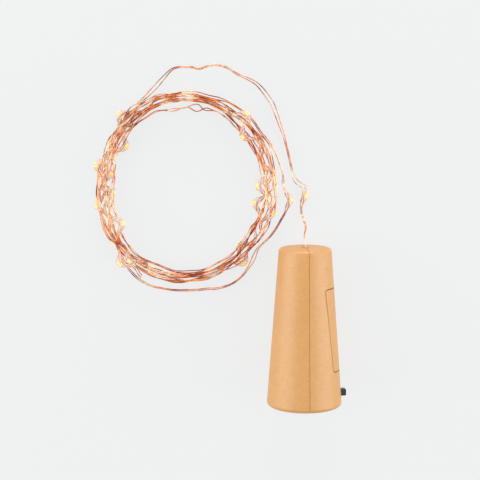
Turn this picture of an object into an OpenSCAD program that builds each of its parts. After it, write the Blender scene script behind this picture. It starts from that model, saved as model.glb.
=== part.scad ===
// Cork bottle light: a cork-shaped battery case with a string of LED drops on a
// copper wire pair. It lies as in the photograph, the cork on its flank with its
// small end towards +Y, and the wound string beside it. Millimetres, +Z up.

/* [Cork case] */
// Length of the cork along its own axis
cork_len = 47.5; // [44:0.5:52]
// Diameter of the large end
base_d = 22.5; // [22:0.1:25]
// Diameter of the small end
tip_d = 15.5; // [15.4:0.1:17]
// Thickness of the side wall
wall = 1.4; // [1.2:0.05:1.5]
// Thickness of the end wall at the large end
base_wall = 1.7; // [1.2:0.1:2]
// Thickness of the end wall at the small end
tip_wall = 1.8; // [1.4:0.1:2.4]
// Rounding of both rims
rim_round = 1.1; // [0.3:0.1:1.1]
// Width of the groove along the parting line
seam_w = 0.2; // [0.1:0.05:0.5]
// Depth of the groove along the parting line
seam_depth = 0.15; // [0.1:0.05:0.5]
// Diameter of the hole that the string leaves by
wire_hole_d = 2.4; // [1.8:0.1:3]
// Turn of the case about its own axis as it lies
roll_deg = 6; // [0:1:12]

/* [Battery bay] */
// Diameter of one button cell
cell_d = 11.6; // [11:0.1:11.8]
// Height of one button cell
cell_h = 5.4; // [5:0.1:5.6]
// Number of cells in the stack
cell_count = 3; // [2:1:3]
// Distance of the stack's axis from the cork's axis
bay_offset = 1.2; // [0.9:0.1:1.3]
// Thickness of the cradle's side wall
cradle_wall = 0.9; // [0.7:0.1:1]
// Thickness of the cradle's two end walls
cradle_end = 1.2; // [1:0.1:1.6]
// Working length of the battery spring
spring_len = 3.4; // [3:0.1:4]
// Diameter of the spring wire
spring_wire_d = 0.5; // [0.4:0.05:0.6]
// Thickness of the sheet metal contacts
contact_t = 0.4; // [0.3:0.05:0.5]
// Width of the battery door beyond the cell on each side
door_side_lap = 1.15; // [1:0.05:1.2]
// Length of the battery door beyond the cradle at each end
door_end_lap = 1; // [0.8:0.05:1.2]
// Gap all round the battery door
door_gap = 0.3; // [0.2:0.05:0.3]
// Corner radius of the battery door
door_corner = 0.8; // [0.5:0.1:1.2]
// Thickness of the door's outer plate
door_plate = 0.75; // [0.6:0.05:0.8]
// Width of the lip that the door rests on
door_lip = 0.7; // [0.6:0.05:0.8]
// Depth of the thumb groove across the door
thumb_depth = 0.4; // [0.2:0.05:0.5]
// Distance of the thumb groove from the cork's large end
thumb_z = 26.3; // [20:0.1:30]

/* [Switch and board] */
// Length of the switch can along its travel
can_l = 8.6; // [8:0.1:8.8]
// Width of the switch can
can_w = 4.4; // [4.2:0.1:4.6]
// Depth of the switch can
can_h = 3; // [2.8:0.1:3.4]
// Travel of the switch lever
lever_travel = 2; // [1.5:0.1:2]
// Size of the lever along its travel
lever_l = 1.9; // [1.5:0.1:2]
// Size of the lever along the cork's axis
lever_w = 2; // [1.8:0.1:2.2]
// How far the lever stands out of the cork
lever_proud = 1.4; // [1:0.1:2.5]
// Width of the circuit board
board_w = 14; // [13:0.1:14.4]
// Length of the circuit board
board_l = 9.6; // [9:0.1:10]
// Thickness of the circuit board
board_t = 1; // [0.8:0.1:1.2]

/* [Light string] */
// Width of the copper wire pair
cord_d = 0.7; // [0.6:0.05:0.8]
// Distance between two LEDs along the string
led_pitch = 84; // [84:0.25:84.5]
// Number of LEDs on the string
led_count = 20; // [17:1:20]
// Diameter of a resin drop
drop_d = 1.9; // [1.8:0.05:1.9]
// Length of a resin drop
drop_l = 3.8; // [3.5:0.1:3.8]
// How far the axis of a resin drop lies beside the wire
drop_shift = 0.45; // [0.35:0.05:0.45]
// How far the wire bends aside at an LED
kink_out = 1; // [0.6:0.1:1]
// Mean radius of the wound string
coil_r = 25.8; // [25.7:0.1:25.9]

/* [Hidden] */
cell_names = [for (i = [1:cell_count]) str("battery_cell_", i)];
drop_names = [for (i = [1:led_count]) str("led_drop_", i < 10 ? "0" : "", i)];

cork_brown = [0.88, 0.66, 0.43];
copper = [0.72, 0.4, 0.22];
steel = [0.75, 0.75, 0.73];
gold_steel = [0.8, 0.7, 0.45];

// Case
side_slope = (base_d - tip_d) / 2 / cork_len;
side_tilt = atan(side_slope);
cavity_top = cork_len - tip_wall;
slip = 0.1;
seat_gap = 0.02;
far = 60;

// Switch and board, from the large end upwards
lever_z = base_wall + 0.05 + can_w / 2;
can_top_x = sqrt(pow(inner_r(base_wall + 0.05 + can_w), 2) - pow(can_l / 2, 2)) - slip;
can_x = can_top_x - can_h;
can_sheet = 0.3;
base_t = 0.8;
board_x = can_x - base_t - board_t;
board_z = base_wall + 0.2;
lever_gap = 0.2;
lever_top_x = outer_r(lever_z) + lever_proud;
flange_t = 0.6;
lever_foot = 1.5;
lever_round = 0.35;
rib_pitch = 0.55;
rail_h = 6.5;
rail_lap = 0.9;
lead_pad_z = board_z + board_l - 3;
lead_pad_y = 2.2;
red_pad_y = board_w / 2 - 2.2;
red_lead_d = 1;
black_lead_d = 0.9;
timer_t = 1.35;
timer_w = 3.8;
timer_l = 4;
timer_lift = 0.15;
timer_z = board_z + 1.2;
pin_pitch = 1;
pin_out = 0.55;
resistor_t = 0.6;
resistor_w = 1.6;
resistor_l = 3.2;
resistor_y = board_w / 2 - 3;
resistor_z = board_z + 2;

// Battery bay
cradle_z = board_z + board_l + 0.8;
cell_z = cradle_z + cradle_end + contact_t;
spring_z = cell_z + cell_count * cell_h;
bay_top = spring_z + spring_len;
cradle_top = bay_top + cradle_end;
cell_gap = 0.25;
channel_r = cell_d / 2 + cell_gap;
cradle_r = channel_r + cradle_wall;
cradle_rim_x = bay_offset + 0.155 * cell_d;
cradle_end_x = bay_offset + 0.345 * cell_d;
contact_r = cell_d / 2 - 1.6;
tab_w = 2;
tab_x = bay_offset - contact_r + 0.3;
tab_out = 1.2;
spring_turns = 4;
spring_steps = 16;
spring_sides = 6;
spring_r_small = 1.8;
spring_r_large = 3.4;

// Door
door_z = cradle_z - door_end_lap;
door_top = cradle_top + door_end_lap;
door_len = door_top - door_z;
door_w = cell_d + 2 * door_side_lap;
plug_gap = 0.2;
hinge_x = outer_r(door_top);
tab_half = 2.5;
hook_t = 0.8;
hook_up = 1.2;
hook_down = 1.6;
hook_x = sqrt(pow(inner_r(door_top + hook_up), 2) - pow(tab_half, 2)) - 0.15;
tongue_in = 1.6;
tongue_t = 0.8;
tongue_z = door_z + door_lip + plug_gap;
thumb_w = 5;
thumb_h = 0.6;

// Locating pins between the half shells
boss_depth = board_x - 0.45;
pin_r = 0.8;
pin_len = boss_depth - 0.7;
pin_boss_r = 1.5;
pin_fit = 0.05;
base_pin_z = board_z + board_l - 1.6;
base_pin_y = inner_r(base_pin_z) - pin_boss_r + 0.1;
tip_pin_z = (door_top + hook_up + cavity_top) / 2;
tip_pin_y = inner_r(tip_pin_z) - pin_boss_r + 0.1;

// Ribs in the left shell that carry the cradle
rib_t = 1;
rib_slot_y = 4;
rib_z_low = cell_z + 2;
rib_z_high = spring_z - 2;

// Wire seal in the small end
seal_face_z = cork_len - 0.8;
seal_flange_t = 0.6;
seal_back_z = cavity_top - seal_flange_t;
seal_flange_r = wire_hole_d / 2 + 0.7;

// How the case lies: its axis leans so that its side rests on the surface
lie_shift_x = -(lever_top_x * cos(roll_deg) - base_d / 2) / 2;
lie_shift_y = -(cork_len * cos(side_tilt) - (base_d - tip_d) / 2 * sin(side_tilt)) / 2;
lie_lift = base_d / 2 * cos(side_tilt);

// String
cord_sides = 8;
end_run = 1.2;
drop_floor = 0.05;
cord_z = drop_d / 2 + drop_floor;
layer_step = drop_d / 2 + cord_d / 2 + 0.2;
coil_centre = [-35.2, 41.6];
coil_start_deg = 125;
coil_rings = 24;
coil_sides = 6;
turns_per_layer = 2.3;
tail_len = 4;
// The wire runs straight through a drop and bends over a short stretch beside it
kink_straight = drop_l / 2 + 0.1;
kink_slope = 2.4;
kink_half = kink_straight + kink_slope;
kink_extra = 2 * (norm([kink_slope, kink_out]) - kink_slope);
ring_room = 0.4;
chip_l = 1.2;
chip_w = 0.8;
chip_t = 0.7;
chip_lift = cord_d / 2 + 0.08;

// The straight run that holds the first drop starts at this route point
drop_run = 7;
lead_points = [
    [-0.8, 25.5, 7.5],
    [-0.8, 27.6, 6.7],
    [-0.4, 29.4, 5.5],
    [-0.8, 31.2, 4.2],
    [-1.4, 33, 2.8],
    [-1.5, 34.6, 1.7],
    [-1.3, 36, 1.1],
    [-0.6, 40.4, 1.1],
    [-1.6, 41.4, 1.1],
    [-3, 42.6, 1.1],
    [-4, 44.6, 1.1],
    [-4.5, 47, 1.1],
    [-5.3, 50.4, 1.1],
    [-6.4, 54.2, 1.1],
    [-7.8, 58.6, 1.1],
    [-9.4, 63.4, 1.1],
    [-11, 66.8, 1.1],
    [-14.2, 70.8, 1.1],
    [-17.2, 72.8, 1.1],
    [-20.6, 74.4, 1.1],
    [-23.8, 76.2, 1.1],
    [-27, 76.8, 1.1],
    [-29.4, 76.4, 1.1],
    [-31.8, 75.6, 1.1],
    [-34.2, 76.2, 1.1],
    [-38.4, 76.2, 1.1],
    [-40.4, 75, 1.1],
    [-42.8, 72.4, 1.1],
    [-45.4, 69.6, 1.1],
    [-47.8, 67.2, 1.1],
];
// Routes inside the case, in the cork's own axes: both long leads run in the lane
// between the cradle's round back and the wall
lane_y = 2.8;
lane_low_z = cell_z + 0.4;
lane_mid_z = cell_z + 6.4;
lane_high_z = spring_z - 1.8;
tip_room = seal_back_z - cradle_top;
inside_points = [
    [0, 0, seal_back_z - 0.8],
    [-1.4, -0.8, seal_back_z - 0.25 * tip_room],
    [-3.4, -1.8, seal_back_z - 0.5 * tip_room],
    [-5, -2.6, seal_back_z - 0.75 * tip_room],
    lane_point(-lane_y, cradle_top - 0.4),
    lane_point(-lane_y, lane_high_z),
    lane_point(-lane_y, lane_mid_z),
    lane_point(-lane_y, lane_low_z),
    [tab_x - 3.5, -lane_y + 0.1, cradle_z - 1],
    [tab_x - 0.9, -2.4, lead_pad_z + 0.6],
    [0, -lead_pad_y, lead_pad_z],
];
black_points = [
    [tab_x - 1.6, 1.2, cradle_top + 1.1],
    [tab_x - 2.7, 2.4, cradle_top + 0.8],
    lane_point(lane_y + 0.2, cradle_top - 1),
    lane_point(lane_y + 0.2, lane_high_z),
    lane_point(lane_y + 0.2, lane_mid_z),
    lane_point(lane_y + 0.2, lane_low_z),
    [tab_x - 3.5, lane_y, cradle_z - 1],
    [tab_x - 0.9, 2.6, lead_pad_z + 0.8],
    [0, lead_pad_y, lead_pad_z],
];
red_points = [
    [tab_x - 0.5, 1.6, cradle_z - 1.4],
    [tab_x + 0.5, 3.2, cradle_z - 1.8],
    [tab_x + 2.5, red_pad_y - 0.2, lead_pad_z + 1],
];

// Radius of the cork's outside at height z
function outer_r(z) = base_d / 2 - side_slope * z;
// Radius of the cavity at height z
function inner_r(z) = outer_r(z) - wall;
// Middle of the lane between the cradle's back and the wall
function lane_point(y, z) = let (
    back = sqrt(pow(cradle_r, 2) - pow(y, 2)) - bay_offset,
    side = sqrt(pow(inner_r(z), 2) - pow(y, 2))
) [-(back + side) / 2, y, z];
function unit(v) = v / norm(v);
function clamp01(x) = min(1, max(0, x));
// Catmull-Rom point between b and c at fraction t
function spline(a, b, c, d, t) = b + 0.5 * t * (c - a + t * (2 * a - 5 * b + 4 * c - d
    + t * (3 * (b - c) + d - a)));
// A route with each run cut in steps, and the run at index straight left straight
function smooth(p, steps, straight = -1) = let (n = len(p)) concat([
    for (i = [0:n - 2], k = [0:(i == straight ? 1 : steps) - 1])
        let (a = p[max(0, i - 1)], d = p[min(n - 1, i + 2)])
        i == straight ? p[i] : spline(a, p[i], p[i + 1], d, k / steps)
], [p[n - 1]]);
// Running length of a route at each of its points
function lengths(p) = [for (i = 0, s = 0; i < len(p);
    s = s + (i + 1 < len(p) ? norm(p[i + 1] - p[i]) : 0), i = i + 1) s];
// Index of the run of a route that holds a given length
function run_at(sums, s) = len([for (x = sums) if (x <= s) 1]) - 1;

// Place of a point given in the cork's own axes, as the case lies
function laid(p) = let (
    x = p[0] * cos(roll_deg) - p[1] * sin(roll_deg),
    y = p[0] * sin(roll_deg) + p[1] * cos(roll_deg),
    z = p[2]
) [
    x + lie_shift_x,
    -y * sin(side_tilt) + z * cos(side_tilt) + lie_shift_y,
    -y * cos(side_tilt) - z * sin(side_tilt) + lie_lift
];

// The wound string: mean radius and width of the bundle at an angle
function coil_mean(a) = coil_r - 0.95 * sin(a) - 0.3 * cos(a) - 1.3 * cos(2 * a)
    + 0.15 * sin(2 * a) + 0.5 * cos(3 * a);
function coil_width(a) = 4.6 + 0.9 * cos(a) + 1.2 * cos(2 * a);
// Position across the bundle, which runs in and out at a steady rate
function coil_across(t) = let (u = min(t, coil_turns - 0.0001) / layer_turns, k = floor(u))
    (k % 2 == 0 ? 0.5 - u + k : u - k - 0.5);
// Height of the loops, which climb a layer in the half turn where they reverse
function coil_climb(t) = layer_step * vsum([for (k = [1:1:coil_layers - 1])
    clamp01(2 * (t - k * layer_turns) + 0.5)]);
function vsum(list) = len(list) == 0 ? 0 : list * [for (x = list) 1];
// Difference of two angles, from -180 to 180
function turn_between(a, b) = (a - b + 180) % 360 - 180;
// An arch of height 1 about an angle, half its width to either side
function arch(a, middle, half) = let (d = turn_between(a, middle))
    abs(d) < half ? cos(90 * d / half) : 0;
// One loop hangs out at the bottom and on the right, and one falls in at the top
function coil_stray(t, a) =
    (abs(t - 2 * layer_turns) < 0.5 ? 3.6 * arch(a, 270, 42) + 1.6 * arch(a, 342, 28) : 0)
    - (abs(t - 3 * layer_turns) < 0.5 ? 1.8 * arch(a, 92, 34) : 0);
function coil_point(t) = let (
    a = coil_start_deg + 360 * t,
    r = coil_mean(a) + coil_width(a) * coil_across(t) + coil_stray(t, a)
) [coil_centre[0] + r * cos(a), coil_centre[1] + r * sin(a), cord_z + coil_climb(t)];

// The string's length sets its loops: the lead takes lead_share of the first pitch
lead_share = 79.1;
wound_len = (led_count - 1) * led_pitch - lead_share + kink_half + tail_len;
coil_turns = wound_len / (2 * PI * coil_r);
coil_layers = max(1, round(coil_turns / turns_per_layer));
layer_turns = coil_turns / coil_layers;
coil_loops = [for (i = [0:ceil(coil_turns * coil_rings) + 8]) coil_point(i / coil_rings)];
loop_sums = lengths(coil_loops);
coil_in = unit(coil_loops[1] - coil_loops[0]);

exit_dir = unit(laid([0, 0, cork_len]) - laid([0, 0, 0]));
exit_point = laid([0, 0, seal_face_z]);
lead_end = coil_loops[0] - cord_d * coil_in;
lead_route = concat([exit_point + end_run * exit_dir], lead_points,
    [lead_end - end_run * coil_in]);
lead_steps = 2;
lead_path = concat([exit_point], smooth(lead_route, lead_steps, drop_run), [lead_end]);
lead_sums = lengths(lead_path);
lead_len = lead_sums[len(lead_sums) - 1];
first_led_len = (lead_sums[lead_steps * drop_run + 1] + lead_sums[lead_steps * drop_run + 2]) / 2;

// Length along the plain loops at which LED i sits, for i from 2 up
function led_place(i) = led_pitch - (lead_len - first_led_len) - cord_d - kink_extra / 2
    + (i - 2) * (led_pitch - kink_extra);
// Point, direction and turn number at a length along the plain loops
function loop_turn(s) = let (k = max(0, run_at(loop_sums, s)))
    (k + (s - loop_sums[k]) / (loop_sums[k + 1] - loop_sums[k])) / coil_rings;
function loop_at(s) = let (x = loop_turn(s) * coil_rings, k = max(0, floor(x)))
    coil_loops[k] + (x - k) * (coil_loops[k + 1] - coil_loops[k]);
// Side of the wire on which a drop sits: out on the outer half, in on the inner half
function led_side(i) = let (c = loop_at(led_place(i)) - concat(coil_centre, 0))
    (coil_across(loop_turn(led_place(i))) < 0 ? -1 : 1) * unit([c[0], c[1], 0]);
// The wire bends aside to each LED, less where other loops lie on both sides
function kink_rise(i) = kink_out
    * clamp01((abs(coil_across(loop_turn(led_place(i)))) - 0.08) / 0.15);
function kink(i) = let (
    s = led_place(i),
    dir = unit(loop_at(s + 0.5) - loop_at(s - 0.5)),
    top = loop_at(s) + kink_rise(i) * led_side(i)
) [loop_at(s - kink_half), top - kink_straight * dir, top + kink_straight * dir,
    loop_at(s + kink_half)];
// The plain loops' points between two lengths
function rings_between(a, b) = [for (i = [0:len(coil_loops) - 1])
    if (loop_sums[i] > a && loop_sums[i] < b) coil_loops[i]];
// Both ends of the free wire before LED i, and after the last one
function run_start(i) = i == 2 ? -1 : led_place(i - 1) + kink_half + ring_room;
coil_end = led_place(led_count) + kink_half + tail_len;
coil_path = concat(
    [lead_end],
    [for (i = [2:led_count])
        each concat(rings_between(run_start(i), led_place(i) - kink_half - ring_room), kink(i))],
    rings_between(run_start(led_count + 1), coil_end - ring_room),
    [loop_at(coil_end)]);
coil_sums = lengths(coil_path);

// Least distance between loops, measured between points a third of a turn or more apart
sample_len = 0.8;
coil_samples = [for (i = [0:len(coil_path) - 2])
    let (a = coil_path[i], b = coil_path[i + 1], n = ceil(norm(b - a) / sample_len))
    for (k = [0:n - 1]) a + (b - a) * k / n];
sample_gap = ceil(2 * PI * coil_r / 3 / sample_len);
coil_gap = min([for (i = [0:len(coil_samples) - 1])
    for (j = [i + sample_gap:1:len(coil_samples) - 1])
        norm(coil_samples[i] - coil_samples[j])]) - cord_d;
echo(least_gap_between_loops = coil_gap);
echo(string_length = lead_len + coil_sums[len(coil_sums) - 1]);
echo(turns = loop_turn(coil_end));

// Both ends of the straight piece of wire that runs through a drop
function drop_span(i) = i == 1
    ? [lead_route[drop_run], lead_route[drop_run + 1]]
    : [kink(i)[1], kink(i)[2]];
function drop_centre(i) = (drop_span(i)[0] + drop_span(i)[1]) / 2;
function drop_dir(i) = unit(drop_span(i)[1] - drop_span(i)[0]);

// Triangles of a swept tube with n rings of s corners
function tube_faces(n, s) = concat(
    [for (i = [0:n - 2], j = [0:s - 1])
        let (a = i * s + j, b = i * s + (j + 1) % s) [b + s, b, a]],
    [for (i = [0:n - 2], j = [0:s - 1])
        let (a = i * s + j, b = i * s + (j + 1) % s) [a + s, b + s, a]],
    [for (k = [1:s - 2]) [0, k, k + 1]],
    [for (k = [1:s - 2]) let (e = (n - 1) * s) [e, e + k + 1, e + k]]);

// A tube along a path; side is a direction that the path never runs along
module tube(path, d, sides, side = [0, 0, 1]) {
    n = len(path);
    points = [for (i = [0:n - 1])
        let (
            t = unit(path[min(n - 1, i + 1)] - path[max(0, i - 1)]),
            u = unit(cross(side, t)),
            v = cross(t, u)
        )
        for (j = [0:sides - 1])
            let (a = 360 * (j + 0.5) / sides)
            path[i] + d / 2 * (cos(a) * u + sin(a) * v)];
    polyhedron(points = points, faces = tube_faces(n, sides));
}

// Lays the case on its side, the small end towards +Y
module lay_down() {
    translate([lie_shift_x, lie_shift_y, lie_lift])
        rotate([-(90 + side_tilt), 0, 0])
            rotate([0, 0, roll_deg])
                children();
}

// The cork's outside, drawn in by inset on every face
module cork_solid(inset = 0) {
    r = max(rim_round - inset, 0.05);
    z0 = inset;
    z1 = cork_len - inset;
    arc = [for (k = [0:6]) k / 6];
    cx0 = outer_r(z0 + r) - inset - r / cos(side_tilt);
    cx1 = outer_r(z1 - r) - inset - r / cos(side_tilt);
    rotate_extrude($fn = 96)
        polygon(concat(
            [[0, z0]],
            [for (f = arc) let (a = -90 + f * (90 + side_tilt))
                [cx0 + r * cos(a), z0 + r + r * sin(a)]],
            [for (f = arc) let (a = side_tilt + f * (90 - side_tilt))
                [cx1 + r * cos(a), z1 - r + r * sin(a)]],
            [[0, z1]]));
}

// A cone parallel to the cork's side, drawn in by inset
module side_cone(inset, z0 = 0, z1 = cork_len) {
    translate([0, 0, z0])
        cylinder(h = z1 - z0, r1 = outer_r(z0) - inset, r2 = outer_r(z1) - inset, $fn = 96);
}

module cavity() {
    side_cone(wall, base_wall, cavity_top);
}

module half_space(sign) {
    translate([sign > 0 ? 0 : -far, -far, -far])
        cube([far, 2 * far, 2 * far]);
}

// A block that spans y from -half_y to half_y
module block(x0, x1, half_y, z0, z1) {
    translate([x0, -half_y, z0])
        cube([x1 - x0, 2 * half_y, z1 - z0]);
}

// A long block along +X over a rounded rectangle in Y and Z
module window(w, z0, z1, r) {
    rotate([90, 0, 90])
        linear_extrude(height = far)
            union() {
                translate([-w / 2, z0 + r])
                    square([w, z1 - z0 - 2 * r]);
                translate([-w / 2 + r, z0])
                    square([w - 2 * r, z1 - z0]);
                for (x = [-w / 2 + r, w / 2 - r], y = [z0 + r, z1 - r])
                    translate([x, y])
                        circle(r = r, $fn = 32);
            }
}

module seam_groove() {
    difference() {
        translate([-seam_w / 2, -far, -far])
            cube([seam_w, 2 * far, 2 * far]);
        cork_solid(seam_depth);
    }
}

module wire_hole() {
    translate([0, 0, cavity_top - 1])
        cylinder(h = tip_wall + 2, d = wire_hole_d, $fn = 48);
    translate([0, 0, cork_len - 0.3])
        cylinder(h = 0.4, d1 = wire_hole_d, d2 = wire_hole_d + 0.8, $fn = 48);
}

module half_shell(sign) {
    difference() {
        intersection() {
            cork_solid();
            half_space(sign);
        }
        cavity();
        wire_hole();
        seam_groove();
    }
}

// Rods of the four locating points, from x0 to x1
module locating_rods(r, x0, x1) {
    for (side = [-1, 1]) {
        translate([x0, side * base_pin_y, base_pin_z])
            rotate([0, 90, 0])
                cylinder(h = x1 - x0, r = r, $fn = 32);
        translate([x0, side * tip_pin_y, tip_pin_z])
            rotate([0, 90, 0])
                cylinder(h = x1 - x0, r = r, $fn = 32);
    }
}

module cradle_rib(z) {
    difference() {
        intersection() {
            side_cone(wall - 0.3, z, z + rib_t);
            half_space(-1);
        }
        translate([bay_offset, 0, z - 1])
            cylinder(h = rib_t + 2, r = cradle_r + slip, $fn = 72);
        block(-far, 1, rib_slot_y, z - 1, z + rib_t + 1);
        block(-slip, 1, far, z - 1, z + rib_t + 1);
    }
}

module shell_left() {
    color(cork_brown) lay_down() {
        half_shell(-1);
        intersection() {
            locating_rods(pin_boss_r, -boss_depth, 0);
            side_cone(0.6);
        }
        locating_rods(pin_r, -1, pin_len);
        cradle_rib(rib_z_low);
        cradle_rib(rib_z_high);
    }
}

// Two rails that take the side edges of the circuit board
module board_rails() {
    intersection() {
        difference() {
            block(board_x - rail_lap, board_x + board_t + rail_lap, far, base_wall - 0.3,
                base_wall + rail_h);
            block(-far, far, board_w / 2 - rail_lap, 0, far);
            block(board_x - slip, board_x + board_t + slip, board_w / 2 + slip, board_z - slip,
                far);
        }
        side_cone(wall - 0.3);
    }
}

module door_opening() {
    difference() {
        window(door_w + 2 * door_gap, door_z - door_gap, door_top + door_gap,
            door_corner + door_gap);
        side_cone(door_plate + slip);
    }
    window(door_w - 2 * door_lip, door_z + door_lip, door_top - door_lip, door_corner);
}

module shell_right() {
    color(cork_brown) lay_down()
        difference() {
            union() {
                half_shell(1);
                intersection() {
                    locating_rods(pin_boss_r, 0, boss_depth);
                    side_cone(0.6);
                }
                board_rails();
            }
            locating_rods(pin_r + pin_fit, -1, pin_len + slip);
            door_opening();
            block(can_top_x - 1, far, (lever_l + lever_travel) / 2 + lever_gap + slip,
                lever_z - lever_w / 2 - lever_gap - slip, lever_z + lever_w / 2 + lever_gap + slip);
        }
}

module battery_door() {
    color(cork_brown) lay_down()
        difference() {
            union() {
                intersection() {
                    window(door_w, door_z, door_top, door_corner);
                    difference() {
                        side_cone(0);
                        side_cone(door_plate);
                    }
                }
                intersection() {
                    window(door_w - 2 * (door_lip + plug_gap), door_z + door_lip + plug_gap,
                        door_top - door_lip - plug_gap, door_corner - plug_gap / 2);
                    difference() {
                        side_cone(door_plate - 0.1);
                        side_cone(wall);
                    }
                }
                block(hook_x - hook_t, hook_x, tab_half, door_top - hook_down, door_top + hook_up);
                block(hook_x - hook_t, hinge_x - door_plate - 0.2, tab_half,
                    door_top - hook_down, door_top - door_lip - plug_gap);
                block(inner_r(tongue_z) - tongue_in, inner_r(tongue_z) + 0.3, tab_half,
                    tongue_z, tongue_z + tongue_t);
            }
            difference() {
                block(0, far, thumb_w / 2, thumb_z - thumb_h / 2, thumb_z + thumb_h / 2);
                side_cone(thumb_depth);
            }
        }
}

module battery_cradle() {
    color("whitesmoke") lay_down()
        intersection() {
            difference() {
                translate([bay_offset, 0, cradle_z]) {
                    cylinder(h = cradle_top - cradle_z, r = cradle_r, $fn = 72);
                    translate([0, -cradle_r, 0])
                        cube([cradle_r, 2 * cradle_r, cradle_top - cradle_z]);
                }
                translate([bay_offset, 0, cradle_z + cradle_end]) {
                    cylinder(h = bay_top - cradle_z - cradle_end, r = channel_r, $fn = 72);
                    translate([0, -channel_r, 0])
                        cube([far, 2 * channel_r, bay_top - cradle_z - cradle_end]);
                }
                block(cradle_rim_x, far, far, cradle_z + cradle_end, bay_top);
                block(cradle_end_x, far, far, 0, far);
                block(tab_x - slip, tab_x + contact_t + slip, tab_w / 2 + slip, 0, far);
            }
            side_cone(wall + slip);
        }
}

// One button cell standing on z = 0, its small terminal up
module button_cell() {
    r = cell_d / 2;
    cap_r = r - 1.5;
    color(steel)
        rotate_extrude($fn = 72)
            polygon([
                [0, 0], [r - 0.3, 0], [r, 0.3], [r, cell_h - 0.7], [r - 0.25, cell_h - 0.5],
                [cap_r + 0.5, cell_h - 0.4], [cap_r, cell_h - 0.3], [cap_r, cell_h], [0, cell_h],
            ]);
}

module battery_cell(i) {
    lay_down()
        translate([bay_offset, 0, cell_z + (i - 1) * cell_h])
            button_cell();
}

// A sheet contact: a disc in the bay with a tab through the cradle's end wall
module sheet_contact(z_disc, z_tab0, z_tab1) {
    translate([bay_offset, 0, z_disc])
        cylinder(h = contact_t, r = contact_r, $fn = 48);
    block(tab_x, tab_x + contact_t, tab_w / 2, z_tab0, z_tab1);
}

module positive_contact() {
    color(gold_steel) lay_down()
        sheet_contact(cradle_z + cradle_end, cradle_z - tab_out, cell_z);
}

module negative_contact() {
    color(gold_steel) lay_down()
        sheet_contact(bay_top - contact_t, bay_top - contact_t, cradle_top + tab_out);
}

module negative_spring() {
    first_z = spring_z + spring_wire_d / 2 + seat_gap;
    last_z = bay_top - contact_t - spring_wire_d / 2 - seat_gap;
    path = [for (i = [0:spring_turns * spring_steps])
        let (
            t = i / spring_steps,
            f = clamp01((t - 0.75) / (spring_turns - 1.5)),
            r = spring_r_small + (spring_r_large - spring_r_small) * clamp01(t / (spring_turns - 1)),
            a = 360 * t
        )
        [bay_offset + r * cos(a), r * sin(a), first_z + (last_z - first_z) * f]];
    color(steel) lay_down()
        tube(path, spring_wire_d, spring_sides);
}

module circuit_board() {
    color("darkgreen") lay_down()
        block(board_x, board_x + board_t, board_w / 2, board_z, board_z + board_l);
}

module timer_chip() {
    color("dimgray") lay_down() {
        block(board_x - timer_lift - timer_t, board_x - timer_lift, timer_w / 2, timer_z,
            timer_z + timer_l);
        for (side = [-1, 1], k = [0:3])
            translate([board_x - 0.35, side * (timer_w / 2 + 0.5) - pin_out,
                timer_z + 0.3 + k * pin_pitch])
                cube([0.35, 2 * pin_out, 0.4]);
    }
}

module resistor() {
    color("black") lay_down()
        translate([board_x - resistor_t, resistor_y, resistor_z])
            cube([resistor_t, resistor_w, resistor_l]);
}

module switch_can() {
    color(steel) lay_down()
        difference() {
            block(can_x, can_top_x, can_l / 2, lever_z - can_w / 2, lever_z + can_w / 2);
            block(can_x - 1, can_top_x - can_sheet, can_l / 2 - can_sheet,
                lever_z - can_w / 2 + can_sheet, lever_z + can_w / 2 - can_sheet);
            block(can_x, far, (lever_l + lever_travel) / 2 + lever_gap,
                lever_z - lever_w / 2 - lever_gap, lever_z + lever_w / 2 + lever_gap);
        }
}

module switch_base() {
    color("saddlebrown") lay_down()
        difference() {
            block(can_x - base_t, can_x, can_l / 2, lever_z - can_w / 2, lever_z + can_w / 2);
            for (k = [-1:1])
                translate([can_x - base_t - 1, k * 2.5 - 0.35, lever_z - 0.25])
                    cube([base_t + 2, 0.7, 0.5]);
        }
}

// Three flat pins through the base, which stand on the board
module switch_terminals() {
    color(gold_steel) lay_down()
        for (k = [-1:1])
            translate([can_x - base_t, k * 2.5 - 0.35, lever_z - 0.25])
                cube([base_t + 0.4, 0.7, 0.5]);
}

// The lever's outline, seen along its travel, with a rounded tip
module lever_outline() {
    half = lever_w / 2;
    x0 = can_top_x - lever_foot;
    union() {
        translate([x0, -half])
            square([lever_top_x - lever_round - x0, lever_w]);
        translate([x0, -half + lever_round])
            square([lever_top_x - x0, lever_w - 2 * lever_round]);
        for (side = [-1, 1])
            translate([lever_top_x - lever_round, side * (half - lever_round)])
                circle(r = lever_round, $fn = 32);
    }
}

module switch_lever() {
    color([0.13, 0.13, 0.13]) lay_down()
        translate([0, -lever_travel / 2, 0]) {
            difference() {
                translate([0, lever_l / 2, lever_z])
                    rotate([90, 0, 0])
                        linear_extrude(height = lever_l)
                            lever_outline();
                for (side = [-1, 1], k = [1:2])
                    translate([lever_top_x - rib_pitch * k, side * lever_l / 2 - 0.12, 0])
                        cube([0.2, 0.24, far]);
            }
            block(can_top_x - can_sheet - lever_gap - flange_t, can_top_x - can_sheet - lever_gap,
                lever_l / 2 + 0.9, lever_z - can_w / 2 + can_sheet + lever_gap,
                lever_z + can_w / 2 - can_sheet - lever_gap);
        }
}

// A lead inside the case, square to what it meets at both ends
module inside_lead(start, start_dir, points, pad_y, d) {
    pad = [board_x, pad_y, lead_pad_z];
    back = [-1, 0, 0];
    path = concat([start],
        smooth(concat([start + start_dir], points, [pad + 1.4 * back, pad + 0.8 * back]), 3),
        [pad]);
    lay_down()
        tube(path, d, cord_sides, [0, 1, 0]);
}

module battery_lead_red() {
    color("red")
        inside_lead([tab_x, 0, cradle_z - tab_out / 2], [-0.8, 0, 0], red_points, red_pad_y,
            red_lead_d);
}

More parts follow.
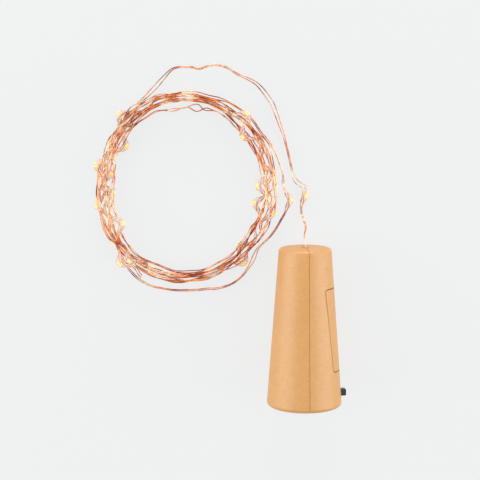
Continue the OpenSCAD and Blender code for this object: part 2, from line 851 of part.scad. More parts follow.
module battery_lead_black() {
    color([0.1, 0.1, 0.1])
        inside_lead([tab_x, 0, cradle_top + tab_out / 2], [-0.8, 0, 0], black_points, lead_pad_y,
            black_lead_d);
}

module string_lead_inside() {
    color(copper)
        inside_lead([0, 0, seal_back_z], [0, 0, -0.6], inside_points, -lead_pad_y,
            cord_d);
}

module wire_seal() {
    color("bisque") lay_down() {
        translate([0, 0, seal_back_z])
            cylinder(h = seal_flange_t, r = seal_flange_r, $fn = 48);
        translate([0, 0, seal_back_z])
            cylinder(h = seal_face_z - seal_back_z, d = wire_hole_d - 2 * seat_gap, $fn = 48);
    }
}

module wire_lead() {
    color(copper)
        tube(lead_path, cord_d, cord_sides);
}

module wire_coil() {
    color(copper)
        tube(coil_path, cord_d, coil_sides);
}

// Moves a drop's own axes onto its wire: z along the wire, x to the side it sits on
module on_wire(i) {
    z = drop_dir(i);
    y = unit(cross(z, i == 1 ? [1, 0, 0] : led_side(i)));
    x = cross(y, z);
    c = drop_centre(i);
    multmatrix([
        [x[0], y[0], z[0], c[0]],
        [x[1], y[1], z[1], c[1]],
        [x[2], y[2], z[2], c[2]],
        [0, 0, 0, 1],
    ])
        children();
}

module chip_block(grow = 0) {
    translate([chip_lift - grow, -chip_w / 2 - grow, -chip_l / 2 - grow])
        cube([chip_t + 2 * grow, chip_w + 2 * grow, chip_l + 2 * grow]);
}

// A resin drop beside the wire, with a bore for the wire and a pocket for its chip
module led_drop(i) {
    color([1, 0.95, 0.85, 0.5]) on_wire(i)
        difference() {
            translate([drop_shift, 0, 0])
                rotate_extrude($fn = 24)
                    polygon(concat(
                        [[0, -drop_l / 2]],
                        [for (k = [-4:4]) let (a = k * 20)
                            [drop_d / 2 * cos(a), drop_l / 2 * sin(a)]],
                        [[0, drop_l / 2]]));
            cylinder(h = drop_l + 1, d = cord_d + 2 * seat_gap, center = true, $fn = 24);
            chip_block(seat_gap);
        }
}

module led_chips() {
    color("gold")
        for (i = [1:led_count])
            on_wire(i) chip_block();
}

shell_left();
shell_right();
battery_door();
battery_cradle();
for (i = [1:cell_count])
    battery_cell(i);
positive_contact();
negative_contact();
negative_spring();
circuit_board();
timer_chip();
resistor();
switch_can();
switch_base();
switch_terminals();
switch_lever();
battery_lead_red();
battery_lead_black();
string_lead_inside();
wire_seal();
wire_lead();
wire_coil();
led_chips();
for (i = [1:led_count])
    led_drop(i);
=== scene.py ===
"""Cork bottle light: materials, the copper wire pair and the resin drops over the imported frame."""
import math
import random

import bmesh
import bpy
import numpy as np
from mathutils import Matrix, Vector


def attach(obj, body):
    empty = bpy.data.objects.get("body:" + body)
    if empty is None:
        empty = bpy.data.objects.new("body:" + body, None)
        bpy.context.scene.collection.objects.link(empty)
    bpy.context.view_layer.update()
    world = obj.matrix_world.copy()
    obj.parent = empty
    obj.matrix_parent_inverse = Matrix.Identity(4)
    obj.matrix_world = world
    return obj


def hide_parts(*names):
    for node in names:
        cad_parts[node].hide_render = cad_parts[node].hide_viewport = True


MM = 0.001
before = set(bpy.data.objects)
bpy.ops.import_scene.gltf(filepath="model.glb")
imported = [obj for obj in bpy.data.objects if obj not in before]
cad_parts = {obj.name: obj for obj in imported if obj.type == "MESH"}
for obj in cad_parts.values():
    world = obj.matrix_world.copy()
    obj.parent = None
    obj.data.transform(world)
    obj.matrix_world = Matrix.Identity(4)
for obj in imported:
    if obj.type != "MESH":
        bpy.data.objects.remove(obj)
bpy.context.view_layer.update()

# Camera, from the photograph's fit: place in millimetres, tilt from straight down in degrees
CAMERA_PLACE = (-19.74, 104.63, 385.83)
CAMERA_TILT = 11.733
FOCAL_PIXELS = 1310.8
FRAME_PIXELS = 480
SENSOR_WIDTH = 36
CLIP_START = 0.01

# The string's route in millimetres, repeated from the part's source
CORD_D = 0.7
LED_PITCH = 84
LED_COUNT = 20
DROP_D = 1.9
DROP_L = 3.8
DROP_FLOOR = 0.05
LAYER_ROOM = 0.2
STRAIGHT_ROOM = 0.1
KINK_OUT = 1
COIL_R = 25.8
COIL_CENTRE = (-35.2, 41.6)
COIL_START = 125
TURNS_PER_LAYER = 2.3
TAIL = 4
RINGS = 24
SPARE_RINGS = 9
CORD_Z = DROP_D / 2 + DROP_FLOOR
LAYER_STEP = DROP_D / 2 + CORD_D / 2 + LAYER_ROOM
KINK_STRAIGHT = DROP_L / 2 + STRAIGHT_ROOM
KINK_SLOPE = 2.4
KINK_HALF = KINK_STRAIGHT + KINK_SLOPE
KINK_EXTRA = 2 * (math.hypot(KINK_SLOPE, KINK_OUT) - KINK_SLOPE)
# The wire bends aside from this place across the bundle, and fully this much further out
KINK_FROM, KINK_OVER = 0.08, 0.15
# Loops that stray, as height in millimetres, middle and half width in degrees
STRAY_OUT = ((3.6, 270, 42), (1.6, 342, 28))
STRAY_IN = ((1.8, 92, 34),)
LEAD_SHARE = 79.1
LEAD_STEPS = 2
END_RUN = 1.2
DROP_RUN = 7
LEAD_POINTS = [
    (-0.8, 25.5, 7.5), (-0.8, 27.6, 6.7), (-0.4, 29.4, 5.5), (-0.8, 31.2, 4.2), (-1.4, 33, 2.8),
    (-1.5, 34.6, 1.7), (-1.3, 36, 1.1), (-0.6, 40.4, 1.1), (-1.6, 41.4, 1.1), (-3, 42.6, 1.1),
    (-4, 44.6, 1.1), (-4.5, 47, 1.1), (-5.3, 50.4, 1.1), (-6.4, 54.2, 1.1), (-7.8, 58.6, 1.1),
    (-9.4, 63.4, 1.1), (-11, 66.8, 1.1), (-14.2, 70.8, 1.1), (-17.2, 72.8, 1.1), (-20.6, 74.4, 1.1),
    (-23.8, 76.2, 1.1), (-27, 76.8, 1.1), (-29.4, 76.4, 1.1), (-31.8, 75.6, 1.1), (-34.2, 76.2, 1.1),
    (-38.4, 76.2, 1.1), (-40.4, 75, 1.1), (-42.8, 72.4, 1.1), (-45.4, 69.6, 1.1), (-47.8, 67.2, 1.1),
]

# How the cork lies, repeated from the part's source
CORK_LEN, BASE_D, TIP_D = 47.5, 22.5, 15.5
LEVER_Z, LEVER_PROUD = 3.95, 1.4
ROLL = math.radians(6)
SIDE_SLOPE = (BASE_D - TIP_D) / 2 / CORK_LEN
SIDE_TILT = math.atan(SIDE_SLOPE)
LEVER_TOP = BASE_D / 2 - LEVER_Z * SIDE_SLOPE + LEVER_PROUD
LIE_SHIFT = (
    -(LEVER_TOP * math.cos(ROLL) - BASE_D / 2) / 2,
    -(CORK_LEN * math.cos(SIDE_TILT) - (BASE_D - TIP_D) / 2 * math.sin(SIDE_TILT)) / 2,
    BASE_D / 2 * math.cos(SIDE_TILT),
)
SEAL_INSET = 0.8
SEAL_FACE = CORK_LEN - SEAL_INSET

# The wire pair's two strands, and the least room beside and under them
STRAND_R = 0.15
STRAND_SIDES = 8
STRAND_STEP = 0.5
STRAND_ROOM = 0.02
# Steps of the string's middle: between two points of the lead, and in one loop
LEAD_FINE_STEPS = 10
LOOP_FINE_STEPS = RINGS * 8
# Wander to the side and up, as heights and wavelengths, and the least height of the middle
# above a strand that lies on the table
LEVEL_WAVES = ((0.3, 31), (0.2, 17), (0.12, 9.5))
LIFT_WAVES = ((0.14, 23), (0.08, 13))
LEAST_LIFT = 0.45
# Opening and turn of the pair: waves, mean share of the opening, and the opening in full
GAP_WAVES = ((0.5, 21), (0.35, 12.5), (0.3, 37))
ROLL_WAVES = ((1.3, 41), (0.8, 23))
MEAN_OPENING = 0.35
PAIR_OPENING = 0.38
# The V that the pair makes at a drop: slope of its arms, rounding of its tip, half length that
# is kept whole and half length in all
V_SLOPE, V_ROUND, V_HOLD, V_REACH = 0.75, 0.8, 2.6, 7.5
# The pair opens again in each arm of the V, where the resin runs out along it
ARM_OPENING, ARM_MIDDLE = 0.26, 1.9
# The loop that strays out goes without these shares of the V's slope and of the wander, and is
# rounder by these arches, which come in and go over this part of a turn
STRAY_EASE = 0.5
CALM = 0.8
ROUNDING = ((1.2, 237, 17), (-0.8, 268, 15), (2.1, 299, 18))
STRAY_FADE = 0.08
# The lead takes this share of the wander, none of it this near to its drop, and grows to it
# over the next stretch; its pair opens at these places, as middle and half length
LEAD_FREE = 0.25
LEAD_HOLD, LEAD_EASE = 2, 3
LEAD_OPENINGS = [(22, 6), (48, 16), (88, 9)]
# The pair stands upright where it leaves the cork, lies down over the next stretch, and starts
# to turn over this stretch about the end of the lead
UPRIGHT_LEN, UPRIGHT_EASE = 4, 5
TURN_EASE = 8

# Resin drops: length, shift to the chip's side, taper, largest lean and mesh
BEAD_L = 5.2
BEAD_SHIFT = 0.58
BEAD_TAPER = 0.8
BEAD_LEAN = 0.12
BEAD_RINGS, BEAD_SIDES = 24, 24
MERGE_DISTANCE = 1e-7

# Stage: the pale colour behind the object, the floor, and the shares of glow and of plain light
PALE = (0.872, 0.884, 0.884, 1)
FLOOR_HALF = 1.5
FLOOR_GLOW = 0.87
WORLD_LIGHT = 0.52
# Lamps: name, place and size in metres, and power in watts
LAMP_AIM = (0, 0.02, 0.01)
LAMPS = [
    ("left_softbox", (-0.55, 0.02, 0.24), (0.4, 0.6), 2.15),
    ("right_softbox", (0.55, 0.02, 0.24), (0.4, 0.6), 2.15),
    ("rear_softbox", (0.0, 0.7, 0.22), (0.6, 0.3), 2.9),
]

SEED = 11
random.seed(SEED)


def cosd(a):
    return math.cos(math.radians(a))


def sind(a):
    return math.sin(math.radians(a))


def clamp01(x):
    return min(1.0, max(0.0, x))


def unit(v):
    return v / np.linalg.norm(v)


def smoothstep(x):
    x = clamp01(x)
    return x * x * (3 - 2 * x)


def lengths(points):
    """Running length of a path at each of its points."""
    steps = np.linalg.norm(np.diff(points, axis=0), axis=1)
    return np.concatenate([[0], np.cumsum(steps)])


# The string's route, as in the part's source
def laid(p):
    """Place of a point given in the cork's own axes."""
    x = p[0] * math.cos(ROLL) - p[1] * math.sin(ROLL)
    y = p[0] * math.sin(ROLL) + p[1] * math.cos(ROLL)
    return np.array([
        x + LIE_SHIFT[0],
        -y * math.sin(SIDE_TILT) + p[2] * math.cos(SIDE_TILT) + LIE_SHIFT[1],
        -y * math.cos(SIDE_TILT) - p[2] * math.sin(SIDE_TILT) + LIE_SHIFT[2],
    ])


WOUND_LEN = (LED_COUNT - 1) * LED_PITCH - LEAD_SHARE + KINK_HALF + TAIL
COIL_TURNS = WOUND_LEN / (2 * math.pi * COIL_R)
COIL_LAYERS = max(1, round(COIL_TURNS / TURNS_PER_LAYER))
LAYER_TURNS = COIL_TURNS / COIL_LAYERS
STRAY_OUT_TURN = 2 * LAYER_TURNS
STRAY_IN_TURN = 3 * LAYER_TURNS


def coil_across(t):
    """Place across the bundle, from -0.5 to 0.5, which runs in and out at a steady rate."""
    u = min(t, COIL_TURNS - 0.0001) / LAYER_TURNS
    k = math.floor(u)
    return 0.5 - u + k if k % 2 == 0 else u - k - 0.5


def arch(a, middle, half):
    """An arch of height 1 about an angle, half its width to either side."""
    d = (a - middle + 180) % 360 - 180
    return cosd(90 * d / half) if abs(d) < half else 0.0


def arches(a, parts):
    return sum(height * arch(a, middle, half) for height, middle, half in parts)


def coil_stray(t, a):
    """How far a loop lies outside the bundle: one strays out and one falls in."""
    out = arches(a, STRAY_OUT) if abs(t - STRAY_OUT_TURN) < 0.5 else 0
    into = arches(a, STRAY_IN) if abs(t - STRAY_IN_TURN) < 0.5 else 0
    return out - into


def coil_mean(a):
    return (COIL_R - 0.95 * sind(a) - 0.3 * cosd(a) - 1.3 * cosd(2 * a)
            + 0.15 * sind(2 * a) + 0.5 * cosd(3 * a))


def coil_width(a):
    return 4.6 + 0.9 * cosd(a) + 1.2 * cosd(2 * a)


def coil_point(t):
    a = COIL_START + 360 * t
    r = coil_mean(a) + coil_width(a) * coil_across(t) + coil_stray(t, a)
    climb = sum(clamp01(2 * (t - k * LAYER_TURNS) + 0.5) for k in range(1, COIL_LAYERS))
    return np.array([
        COIL_CENTRE[0] + r * cosd(a),
        COIL_CENTRE[1] + r * sind(a),
        CORD_Z + LAYER_STEP * climb,
    ])


def spline(a, b, c, d, t):
    """Catmull-Rom point between b and c."""
    return b + 0.5 * t * (c - a + t * (2 * a - 5 * b + 4 * c - d + t * (3 * (b - c) + d - a)))


def smooth(points, steps, straight):
    """A route with each run cut in steps, and the run at index straight left straight."""
    out = []
    for i in range(len(points) - 1):
        if i == straight:
            out.append(points[i])
            continue
        a, d = points[max(0, i - 1)], points[min(len(points) - 1, i + 2)]
        out += [spline(a, points[i], points[i + 1], d, k / steps) for k in range(steps)]
    return out + [points[-1]]


LOOPS = np.array([coil_point(i / RINGS) for i in range(math.ceil(COIL_TURNS * RINGS) + SPARE_RINGS)])
LOOP_SUMS = lengths(LOOPS)
COIL_IN = unit(LOOPS[1] - LOOPS[0])
EXIT = laid((0, 0, SEAL_FACE))
EXIT_DIR = unit(laid((0, 0, CORK_LEN)) - laid((0, 0, 0)))
LEAD_END = LOOPS[0] - CORD_D * COIL_IN
LEAD_ROUTE = [
    EXIT + END_RUN * EXIT_DIR,
    *(np.array(p, float) for p in LEAD_POINTS),
    LEAD_END - END_RUN * COIL_IN,
]


def lead_path(steps):
    return np.array([EXIT] + smooth(LEAD_ROUTE, steps, DROP_RUN) + [LEAD_END])


def first_led_to_coil():
    sums = lengths(lead_path(LEAD_STEPS))
    i = LEAD_STEPS * DROP_RUN + 1
    return sums[-1] - (sums[i] + sums[i + 1]) / 2


FIRST_LED_TO_COIL = first_led_to_coil()


def led_place(i):
    """Length along the plain loops at which LED i sits, for i from 2 up."""
    second = LED_PITCH - FIRST_LED_TO_COIL - CORD_D - KINK_EXTRA / 2
    return second + (i - 2) * (LED_PITCH - KINK_EXTRA)


def loop_turn(s):
    """Turn number at a length along the plain loops."""
    k = max(0, int(np.searchsorted(LOOP_SUMS, s, side="right")) - 1)
    return (k + (s - LOOP_SUMS[k]) / (LOOP_SUMS[k + 1] - LOOP_SUMS[k])) / RINGS


def loop_at(s):
    """Point at a length along the plain loops."""
    x = loop_turn(s) * RINGS
    k = max(0, math.floor(x))
    return LOOPS[k] + (x - k) * (LOOPS[k + 1] - LOOPS[k])


def led_axes(i):
    """Centre on the wire, direction of the wire, side that the drop sits on."""
    if i == 1:
        a, b = LEAD_ROUTE[DROP_RUN], LEAD_ROUTE[DROP_RUN + 1]
        return (a + b) / 2, unit(b - a), np.array([1.0, 0, 0])
    s = led_place(i)
    across = coil_across(loop_turn(s))
    out = loop_at(s) - np.array([*COIL_CENTRE, 0])
    out[2] = 0
    side = (-1 if across < 0 else 1) * unit(out)
    rise = KINK_OUT * clamp01((abs(across) - KINK_FROM) / KINK_OVER)
    return loop_at(s) + rise * side, unit(loop_at(s + 0.5) - loop_at(s - 0.5)), side


LEDS = [led_axes(i) for i in range(1, LED_COUNT + 1)]


# The wire pair as it lies
def wave(*parts):
    """A smooth wander along the string: a sum of sines of given height and wavelength."""
    phases = [random.uniform(0, 2 * math.pi) for _ in parts]
    return lambda s: sum(h * math.sin(2 * math.pi * s / w + p) for (h, w), p in zip(parts, phases))


def loop_out(t):
    """1 on the one loop that strays out of the coil, and 0 elsewhere, with a soft change."""
    return smoothstep((0.5 - abs(t - STRAY_OUT_TURN)) / STRAY_FADE)


def rounding(t):
    """Extra radius that makes the loop that strays as round as it lies."""
    return loop_out(t) * arches(COIL_START + 360 * t, ROUNDING)


def out_share(t):
    """Millimetres that a loop lies outside the bundle, counted up to 1; negative where it falls in."""
    return min(1, coil_stray(t, COIL_START + 360 * t))


def v_slope(i):
    """Slope of a drop's V: none on the lead, and less on the loop that strays."""
    if i == 1:
        return 0
    return V_SLOPE * (1 - STRAY_EASE * out_share(loop_turn(led_place(i))))


def v_drop(x, slope):
    """How far the V has fallen back from its tip at a distance along the string."""
    return slope * (math.hypot(x, V_ROUND) - V_ROUND)


def string_route():
    """Points of the string's middle, and how much of the wander each may take."""
    lead = lead_path(LEAD_FINE_STEPS)[:-1]
    points = list(lead)
    centre = LEDS[0][0]
    free = [LEAD_FREE * smoothstep((np.linalg.norm(p - centre) - LEAD_HOLD) / LEAD_EASE) for p in lead]
    steps = LOOP_FINE_STEPS
    turn_end = loop_turn(led_place(LED_COUNT) + KINK_HALF + TAIL)
    coil_leds = [(loop_turn(led_place(i)), v_slope(i), *LEDS[i - 1]) for i in range(2, LED_COUNT + 1)]
    for n in range(math.floor(turn_end * steps) + 1):
        t = n / steps
        p = coil_point(t)
        out = unit(p - np.array([*COIL_CENTRE, p[2]]))
        p = p + rounding(t) * out
        along = np.linalg.norm(coil_point(t + 0.5 / steps) - coil_point(t - 0.5 / steps)) * steps
        freedom = 1 - CALM * out_share(t)
        for turn, slope, middle, direction, side in coil_leds:
            ds = (t - turn) * along
            if abs(ds) < V_REACH:
                hold = 1 - smoothstep((abs(ds) - V_HOLD) / (V_REACH - V_HOLD))
                p = p + hold * (middle + direction * ds - v_drop(ds, slope) * side - p)
                freedom = min(freedom, 1 - hold)
        points.append(p)
        free.append(freedom)
    return np.array(points), np.array(free)


def resample(points, values, step):
    """Places along a path at even steps, with the points and the values there."""
    sums = lengths(points)
    at = np.linspace(0, sums[-1], round(sums[-1] / step) + 1)
    out = np.stack([np.interp(at, sums, points[:, k]) for k in range(3)], 1)
    return at, out, np.interp(at, sums, values)


def sides_of(points):
    """Level side and upright side of a path at each of its points."""
    tangent = np.gradient(points, axis=0)
    tangent /= np.linalg.norm(tangent, axis=1)[:, None]
    side = np.cross([0, 0, 1.0], tangent)
    side /= np.linalg.norm(side, axis=1)[:, None]
    return side, np.cross(tangent, side)


def apart_on_lead(s):
    """Share by which the pair opens at a place of the lead."""
    return max(smoothstep(1 - abs((s - middle) / half)) for middle, half in LEAD_OPENINGS)


def from_drop(at, points):
    """Distance along the string from each point to the nearest drop."""
    places = [at[np.argmin(np.linalg.norm(points - led[0], axis=1))] for led in LEDS]
    return np.min([np.abs(at - place) for place in places], axis=0)


def wandered(at, points, free):
    """The path with its wander, kept clear of the table."""
    side, _ = sides_of(points)
    level = wave(*LEVEL_WAVES)
    lift = wave(*LIFT_WAVES)
    move = np.array([level(s) for s in at])[:, None] * side
    move[:, 2] += np.array([lift(s) for s in at])
    out = points + move * free[:, None]
    out[:, 2] = np.maximum(out[:, 2], STRAND_R + LEAST_LIFT)
    return out


def smooth_piece(mesh):
    """An object of a smoothly shaded mesh, with the mesh's name."""
    mesh.polygons.foreach_set("use_smooth", [True] * len(mesh.polygons))
    piece = bpy.data.objects.new(mesh.name, mesh)
    bpy.context.collection.objects.link(piece)
    return piece


def tube(name, strands, radius, sides):
    """One mesh with a tube along each of the strands."""
    vertices, faces = [], []
    for path in strands:
        side, up = sides_of(path)
        first = len(vertices)
        n = len(path)
        for p, u, v in zip(path, side, up):
            for j in range(sides):
                a = 2 * math.pi * (j + 0.5) / sides
                vertices.append(tuple((p + radius * (math.cos(a) * u + math.sin(a) * v)) * MM))
        for i in range(n - 1):
            for j in range(sides):
                a, b = first + i * sides + j, first + i * sides + (j + 1) % sides
                faces.append((a, b, b + sides, a + sides))
        faces.append(tuple(first + j for j in reversed(range(sides))))
        faces.append(tuple(first + (n - 1) * sides + j for j in range(sides)))
    mesh = bpy.data.meshes.new(name)
    mesh.from_pydata(vertices, [], faces)
    mesh.validate()
    return smooth_piece(mesh)


def wire_pair():
    """The two strands of the string as one piece, and the path of their middle."""
    points, free = string_route()
    at, points, free = resample(points, free, STRAND_STEP)
    middle = wandered(at, points, free)
    side, up = sides_of(middle)
    gap = wave(*GAP_WAVES)
    roll = wave(*ROLL_WAVES)
    lead_len = lengths(lead_path(LEAD_FINE_STEPS))[-1]
    on_lead = np.array([1 - smoothstep((s - lead_len + TURN_EASE / 2) / TURN_EASE) for s in at])
    opening = np.array([clamp01(MEAN_OPENING + gap(s)) * f for s, f in zip(at, free)])
    opening += on_lead * (np.array([apart_on_lead(s) for s in at]) - opening)
    arm = np.array([smoothstep(1 - abs(s / ARM_MIDDLE - 1)) for s in from_drop(at, points)])
    half = STRAND_R + STRAND_ROOM + PAIR_OPENING * opening + ARM_OPENING * arm
    upright = np.array([1 - smoothstep((s - UPRIGHT_LEN) / UPRIGHT_EASE) for s in at])
    turned = np.array([roll(s) * f for s, f in zip(at, free)])
    angle = turned * (1 - upright) * (1 - on_lead) + math.pi / 2 * upright
    offset = half[:, None] * (np.cos(angle)[:, None] * side + np.sin(angle)[:, None] * up)
    strands = [middle + offset, middle - offset]
    for strand in strands:
        strand[:, 2] = np.maximum(strand[:, 2], STRAND_R + STRAND_ROOM)
    return tube("copper_wire_pair", strands, STRAND_R, STRAND_SIDES), middle


# Resin drops
def resin_drop(i):
    """A bead that covers the chip and tapers out along both arms of the V."""
    middle, along, side = LEDS[i - 1]
    up = unit(np.cross(along, side))
    side = np.cross(up, along)
    slope = v_slope(i)
    lean = random.uniform(-BEAD_LEAN, BEAD_LEAN)
    mesh = bpy.data.meshes.new(f"resin_drop_{i:02d}")
    form = bmesh.new()
    for r in range(BEAD_RINGS + 1):
        x = BEAD_L / 2 * math.sin(math.pi * (r / BEAD_RINGS - 0.5))
        share = clamp01(1 - (2 * x / BEAD_L) ** 2)
        centre = middle + x * along + (BEAD_SHIFT * share - v_drop(x, slope)) * side
        # Slope of the bead's own middle line, which turns its rings square to it
        fall = slope * x / math.hypot(x, V_ROUND) + 8 * BEAD_SHIFT * x / BEAD_L ** 2
        across = np.cross(up, unit(along - fall * side))
        radius = DROP_D / 2 * share ** BEAD_TAPER * (1 + lean * x / BEAD_L)
        for k in range(BEAD_SIDES):
            b = 2 * math.pi * k / BEAD_SIDES
            form.verts.new(tuple((centre + radius * (math.cos(b) * across + math.sin(b) * up)) * MM))
    form.verts.ensure_lookup_table()
    for r in range(BEAD_RINGS):
        for k in range(BEAD_SIDES):
            a, b = r * BEAD_SIDES + k, r * BEAD_SIDES + (k + 1) % BEAD_SIDES
            form.faces.new([form.verts[j] for j in (a, b, b + BEAD_SIDES, a + BEAD_SIDES)])
    bmesh.ops.remove_doubles(form, verts=form.verts, dist=MERGE_DISTANCE)
    bmesh.ops.dissolve_degenerate(form, edges=form.edges, dist=MERGE_DISTANCE)
    bmesh.ops.recalc_face_normals(form, faces=form.faces)
    form.to_mesh(mesh)
    form.free()
    return smooth_piece(mesh)


# Materials
def seen_rays(tree):
    """Socket that is 1 for what the camera, gloss and glass see, and 0 for other rays."""
    rays = tree.nodes.new("ShaderNodeLightPath").outputs
    seen = rays["Is Camera Ray"]
    for kind in ("Is Glossy Ray", "Is Transmission Ray"):
        either = tree.nodes.new("ShaderNodeMath")
        either.operation = "MAXIMUM"
        tree.links.new(seen, either.inputs[0])
        tree.links.new(rays[kind], either.inputs[1])
        seen = either.outputs[0]
    return seen


class Nodes:
    """A material's tree with short calls for its nodes."""

    def __init__(self, name):
        self.material = bpy.data.materials.new(name)
        self.material.use_nodes = True
        self.tree = self.material.node_tree
        self.tree.nodes.clear()

    def add(self, kind, settings=(), **inputs):
        node = self.tree.nodes.new(kind)
        for key, value in dict(settings).items():
            setattr(node, key, value)
        for key, value in inputs.items():
            socket = node.inputs[key.replace("_", " ")]
            if isinstance(value, bpy.types.NodeSocket):
                self.tree.links.new(value, socket)
            else:
                socket.default_value = value
        return node

    def noise(self, scale, detail=3.0, rough=0.6):
        place = self.add("ShaderNodeTexCoord").outputs["Object"]
        return self.add("ShaderNodeTexNoise", Vector=place, Scale=scale, Detail=detail,
                        Roughness=rough).outputs["Fac"]

    def ramp(self, value, *stops):
        node = self.add("ShaderNodeValToRGB", Fac=value)
        ramp = node.color_ramp
        while len(ramp.elements) < len(stops):
            ramp.elements.new(0.5)
        for element, (place, colour) in zip(ramp.elements, stops):
            element.position = place
            element.color = (*colour, 1)
        return node.outputs["Color"]

    def spread(self, value, low, high):
        return self.add("ShaderNodeMapRange", Value=value, To_Min=low, To_Max=high).outputs["Result"]

    def times(self, a, b):
        """Product of two colours."""
        node = self.add("ShaderNodeMix", {"data_type": "RGBA", "blend_type": "MULTIPLY"})
        node.inputs[0].default_value = 1.0
        self.tree.links.new(a, node.inputs[6])
        self.tree.links.new(b, node.inputs[7])
        return node.outputs[2]

    def bump(self, height, strength, distance):
        return self.add("ShaderNodeBump", Height=height, Strength=strength,
                        Distance=distance).outputs["Normal"]

    def finish(self, shader):
        self.add("ShaderNodeOutputMaterial", Surface=shader.outputs[0])
        return self.material


def cork_plastic():
    """Cork-coloured plastic with a fine speckle and soft mottling."""
    n = Nodes("cork_coloured_plastic")
    speckle = n.noise(2600, 2, 0.7)
    mottle = n.noise(420, 4, 0.6)
    cloud = n.noise(90, 3, 0.5)
    base = n.ramp(speckle, (0.3, (0.65, 0.318, 0.093)), (0.5, (0.7, 0.35, 0.108)),
                  (0.72, (0.75, 0.388, 0.132)))
    soft = n.ramp(mottle, (0.3, (0.95, 0.935, 0.91)), (0.6, (1, 1, 1)))
    wide = n.ramp(cloud, (0.3, (0.97, 0.965, 0.95)), (0.7, (1, 1, 1)))
    shader = n.add("ShaderNodeBsdfPrincipled", Base_Color=n.times(n.times(base, soft), wide),
                   Roughness=n.spread(mottle, 0.44, 0.54), Specular_IOR_Level=0.9,
                   Normal=n.bump(speckle, 0.12, 0.00006))
    return n.finish(shader)


def plain(name, colour, rough=0.5, metallic=0.0, grain=900, depth=0.00002, contrast=0.12):
    """A finish with a slight variation of colour and roughness and a fine bump."""
    n = Nodes(name)
    grainy = n.noise(grain)
    low = tuple(c * (1 - contrast) for c in colour)
    high = tuple(min(1, c * (1 + contrast)) for c in colour)
    shader = n.add("ShaderNodeBsdfPrincipled", Base_Color=n.ramp(grainy, (0.3, low), (0.7, high)),
                   Roughness=n.spread(grainy, rough - 0.06, rough + 0.06), Metallic=metallic,
                   Normal=n.bump(grainy, 0.2, depth))
    return n.finish(shader)


def enamelled_copper():
    """Copper strand under clear enamel, darker in some stretches and paler in others: partly its own
    tone, partly painted shade between strands and painted highlights.
    """
    n = Nodes("enamelled_copper_wire")
    stretch = n.noise(150, 2, 0.5)
    short = n.noise(430, 1, 0.5)
    fine = n.noise(1500, 2, 0.6)
    # The dark end of the tone is partly painted shade between strands, and its pale end partly painted
    # highlight.
    tone = n.ramp(stretch, (0.36, (0.44, 0.08, 0.02)), (0.5, (0.96, 0.36, 0.13)),
                  (0.6, (1.0, 0.72, 0.46)))
    # Short stretches darkened between bright ones: painted reflection and painted shade on the
    # strands.
    glint_and_shade = n.ramp(short, (0.34, (0.46, 0.34, 0.31)), (0.48, (1, 0.96, 0.92)), (0.66, (1, 1, 1)))
    speck = n.ramp(fine, (0.36, (0.8, 0.72, 0.68)), (0.64, (1, 1, 1)))
    shader = n.add("ShaderNodeBsdfPrincipled", Base_Color=n.times(n.times(tone, glint_and_shade), speck),
                   Metallic=1.0, Roughness=n.spread(fine, 0.26, 0.42), Coat_Weight=0.25,
                   Coat_Roughness=0.1, Normal=n.bump(fine, 0.2, 0.00002))
    return n.finish(shader)


def clear_resin():
    """Clear resin with a rosy tint and a slight ripple."""
    n = Nodes("clear_resin")
    ripple = n.noise(700, 1, 0.5)
    tint = n.ramp(ripple, (0.3, (1, 0.82, 0.76)), (0.7, (1, 0.92, 0.88)))
    shader = n.add("ShaderNodeBsdfPrincipled", Base_Color=tint,
                   Roughness=n.spread(ripple, 0.02, 0.07), Transmission_Weight=0.7, IOR=1.28,
                   Normal=n.bump(ripple, 0.15, 0.00008))
    return n.finish(shader)


def phosphor():
    """Yellow phosphor of the chips, with a faint glow that is painted light: the chips are not lit."""
    n = Nodes("yellow_phosphor")
    fine = n.noise(2500, 2, 0.6)
    colour = n.ramp(fine, (0.3, (0.95, 0.76, 0.08)), (0.7, (1.0, 0.88, 0.16)))
    # The emission is painted light that brightens the unlit yellow chips.
    shader = n.add("ShaderNodeBsdfPrincipled", Base_Color=colour, Roughness=n.spread(fine, 0.5, 0.65),
                   Emission_Color=(1.0, 0.82, 0.12, 1), Emission_Strength=0.4,
                   Normal=n.bump(fine, 0.2, 0.00003))
    return n.finish(shader)


def pale_floor():
    """Pale table whose colour the camera, gloss and glass see, with a soft share of the shadow."""
    n = Nodes("pale_floor")
    share = n.add("ShaderNodeMath", {"operation": "MULTIPLY"})
    n.tree.links.new(seen_rays(n.tree), share.inputs[0])
    share.inputs[1].default_value = FLOOR_GLOW
    matt = n.add("ShaderNodeBsdfDiffuse", Color=PALE)
    glow = n.add("ShaderNodeEmission", Color=PALE, Strength=1.0)
    mix = n.add("ShaderNodeMixShader", Fac=share.outputs[0])
    n.tree.links.new(matt.outputs[0], mix.inputs[1])
    n.tree.links.new(glow.outputs[0], mix.inputs[2])
    return n.finish(mix)


def dress(material, *names):
    """Puts a material on every slot of the named nodes."""
    for name in names:
        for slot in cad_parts[name].material_slots:
            slot.material = material


def put_material(piece, material):
    piece.data.materials.clear()
    piece.data.materials.append(material)


# Camera, floor and light
def camera():
    data = bpy.data.cameras.new("camera")
    data.sensor_width = SENSOR_WIDTH
    data.lens = SENSOR_WIDTH * FOCAL_PIXELS / FRAME_PIXELS
    data.clip_start = CLIP_START
    place = bpy.data.objects.new("camera", data)
    place.location = Vector(CAMERA_PLACE) * MM
    place.rotation_euler = (math.radians(-CAMERA_TILT), 0, 0)
    bpy.context.collection.objects.link(place)
    bpy.context.scene.camera = place


def floor():
    half = FLOOR_HALF
    mesh = bpy.data.meshes.new("floor")
    corners = [(-half, -half, 0), (half, -half, 0), (half, half, 0), (-half, half, 0)]
    mesh.from_pydata(corners, [], [(0, 1, 2, 3)])
    piece = bpy.data.objects.new("floor", mesh)
    bpy.context.collection.objects.link(piece)
    put_material(piece, pale_floor())


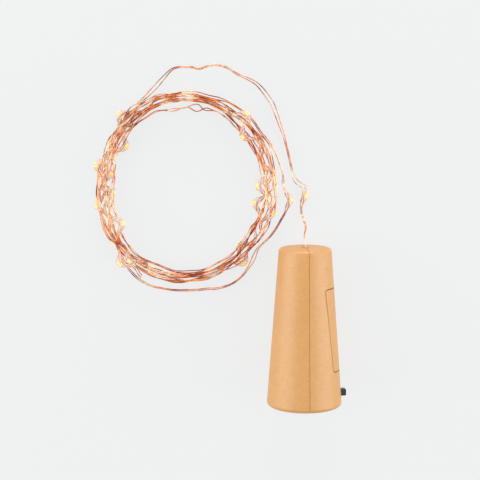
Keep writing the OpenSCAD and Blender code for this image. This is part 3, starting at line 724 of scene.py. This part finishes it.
def softbox(name, place, size, power):
    data = bpy.data.lights.new(name, "AREA")
    data.shape = "RECTANGLE"
    data.size, data.size_y = size
    data.energy = power
    lamp = bpy.data.objects.new(name, data)
    lamp.location = Vector(place)
    lamp.rotation_euler = (Vector(LAMP_AIM) - Vector(place)).to_track_quat("-Z", "Y").to_euler()
    bpy.context.collection.objects.link(lamp)


def world_light():
    """Pale world: it lights plain rays less than it shows to the camera, gloss and glass."""
    world = bpy.data.worlds.new("world")
    bpy.context.scene.world = world
    world.use_nodes = True
    tree = world.node_tree
    back = tree.nodes["Background"]
    back.inputs["Color"].default_value = PALE
    strength = tree.nodes.new("ShaderNodeMapRange")
    tree.links.new(seen_rays(tree), strength.inputs["Value"])
    strength.inputs["To Min"].default_value = WORLD_LIGHT
    strength.inputs["To Max"].default_value = 1.0
    tree.links.new(strength.outputs["Result"], back.inputs["Strength"])


camera()
floor()
for lamp_values in LAMPS:
    softbox(*lamp_values)
world_light()

copper = enamelled_copper()
resin = clear_resin()
pair, pair_path = wire_pair()
put_material(pair, copper)
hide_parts("wire_lead", "wire_coil")
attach(pair, "case")

for number in range(1, LED_COUNT + 1):
    drop = resin_drop(number)
    put_material(drop, resin)
    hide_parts(f"led_drop_{number:02d}")
    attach(drop, "case")

dress(cork_plastic(), "shell_left", "shell_right", "battery_door")
dress(phosphor(), "led_chips")
dress(plain("white_plastic", (0.8, 0.8, 0.78), 0.45), "battery_cradle")
dress(plain("black_plastic", (0.035, 0.034, 0.034), 0.38, contrast=0.2), "switch_lever")
dress(plain("switch_steel", (0.62, 0.62, 0.6), 0.3, 1.0), "switch_can", "switch_terminals")
dress(plain("brown_phenolic", (0.24, 0.1, 0.04), 0.5), "switch_base")
dress(plain("nickel_steel", (0.66, 0.64, 0.58), 0.28, 1.0),
      "positive_contact", "negative_contact", "negative_spring")
dress(plain("board_green", (0.03, 0.2, 0.06), 0.42), "circuit_board")
dress(plain("black_epoxy", (0.03, 0.03, 0.03), 0.5), "timer_chip", "resistor")
dress(plain("cell_steel", (0.68, 0.68, 0.67), 0.24, 1.0),
      "battery_cell_1", "battery_cell_2", "battery_cell_3")
dress(plain("red_insulation", (0.6, 0.02, 0.02), 0.4), "battery_lead_red")
dress(plain("black_insulation", (0.02, 0.02, 0.02), 0.4), "battery_lead_black")
dress(copper, "string_lead_inside")
# The seal's glue is coloured dark: painted shade of the hole that the wire leaves by.
dress(plain("glue_dark_as_pit_shade", (0.2, 0.085, 0.03), 0.3), "wire_seal")

bpy.context.scene.view_settings.view_transform = "Standard"
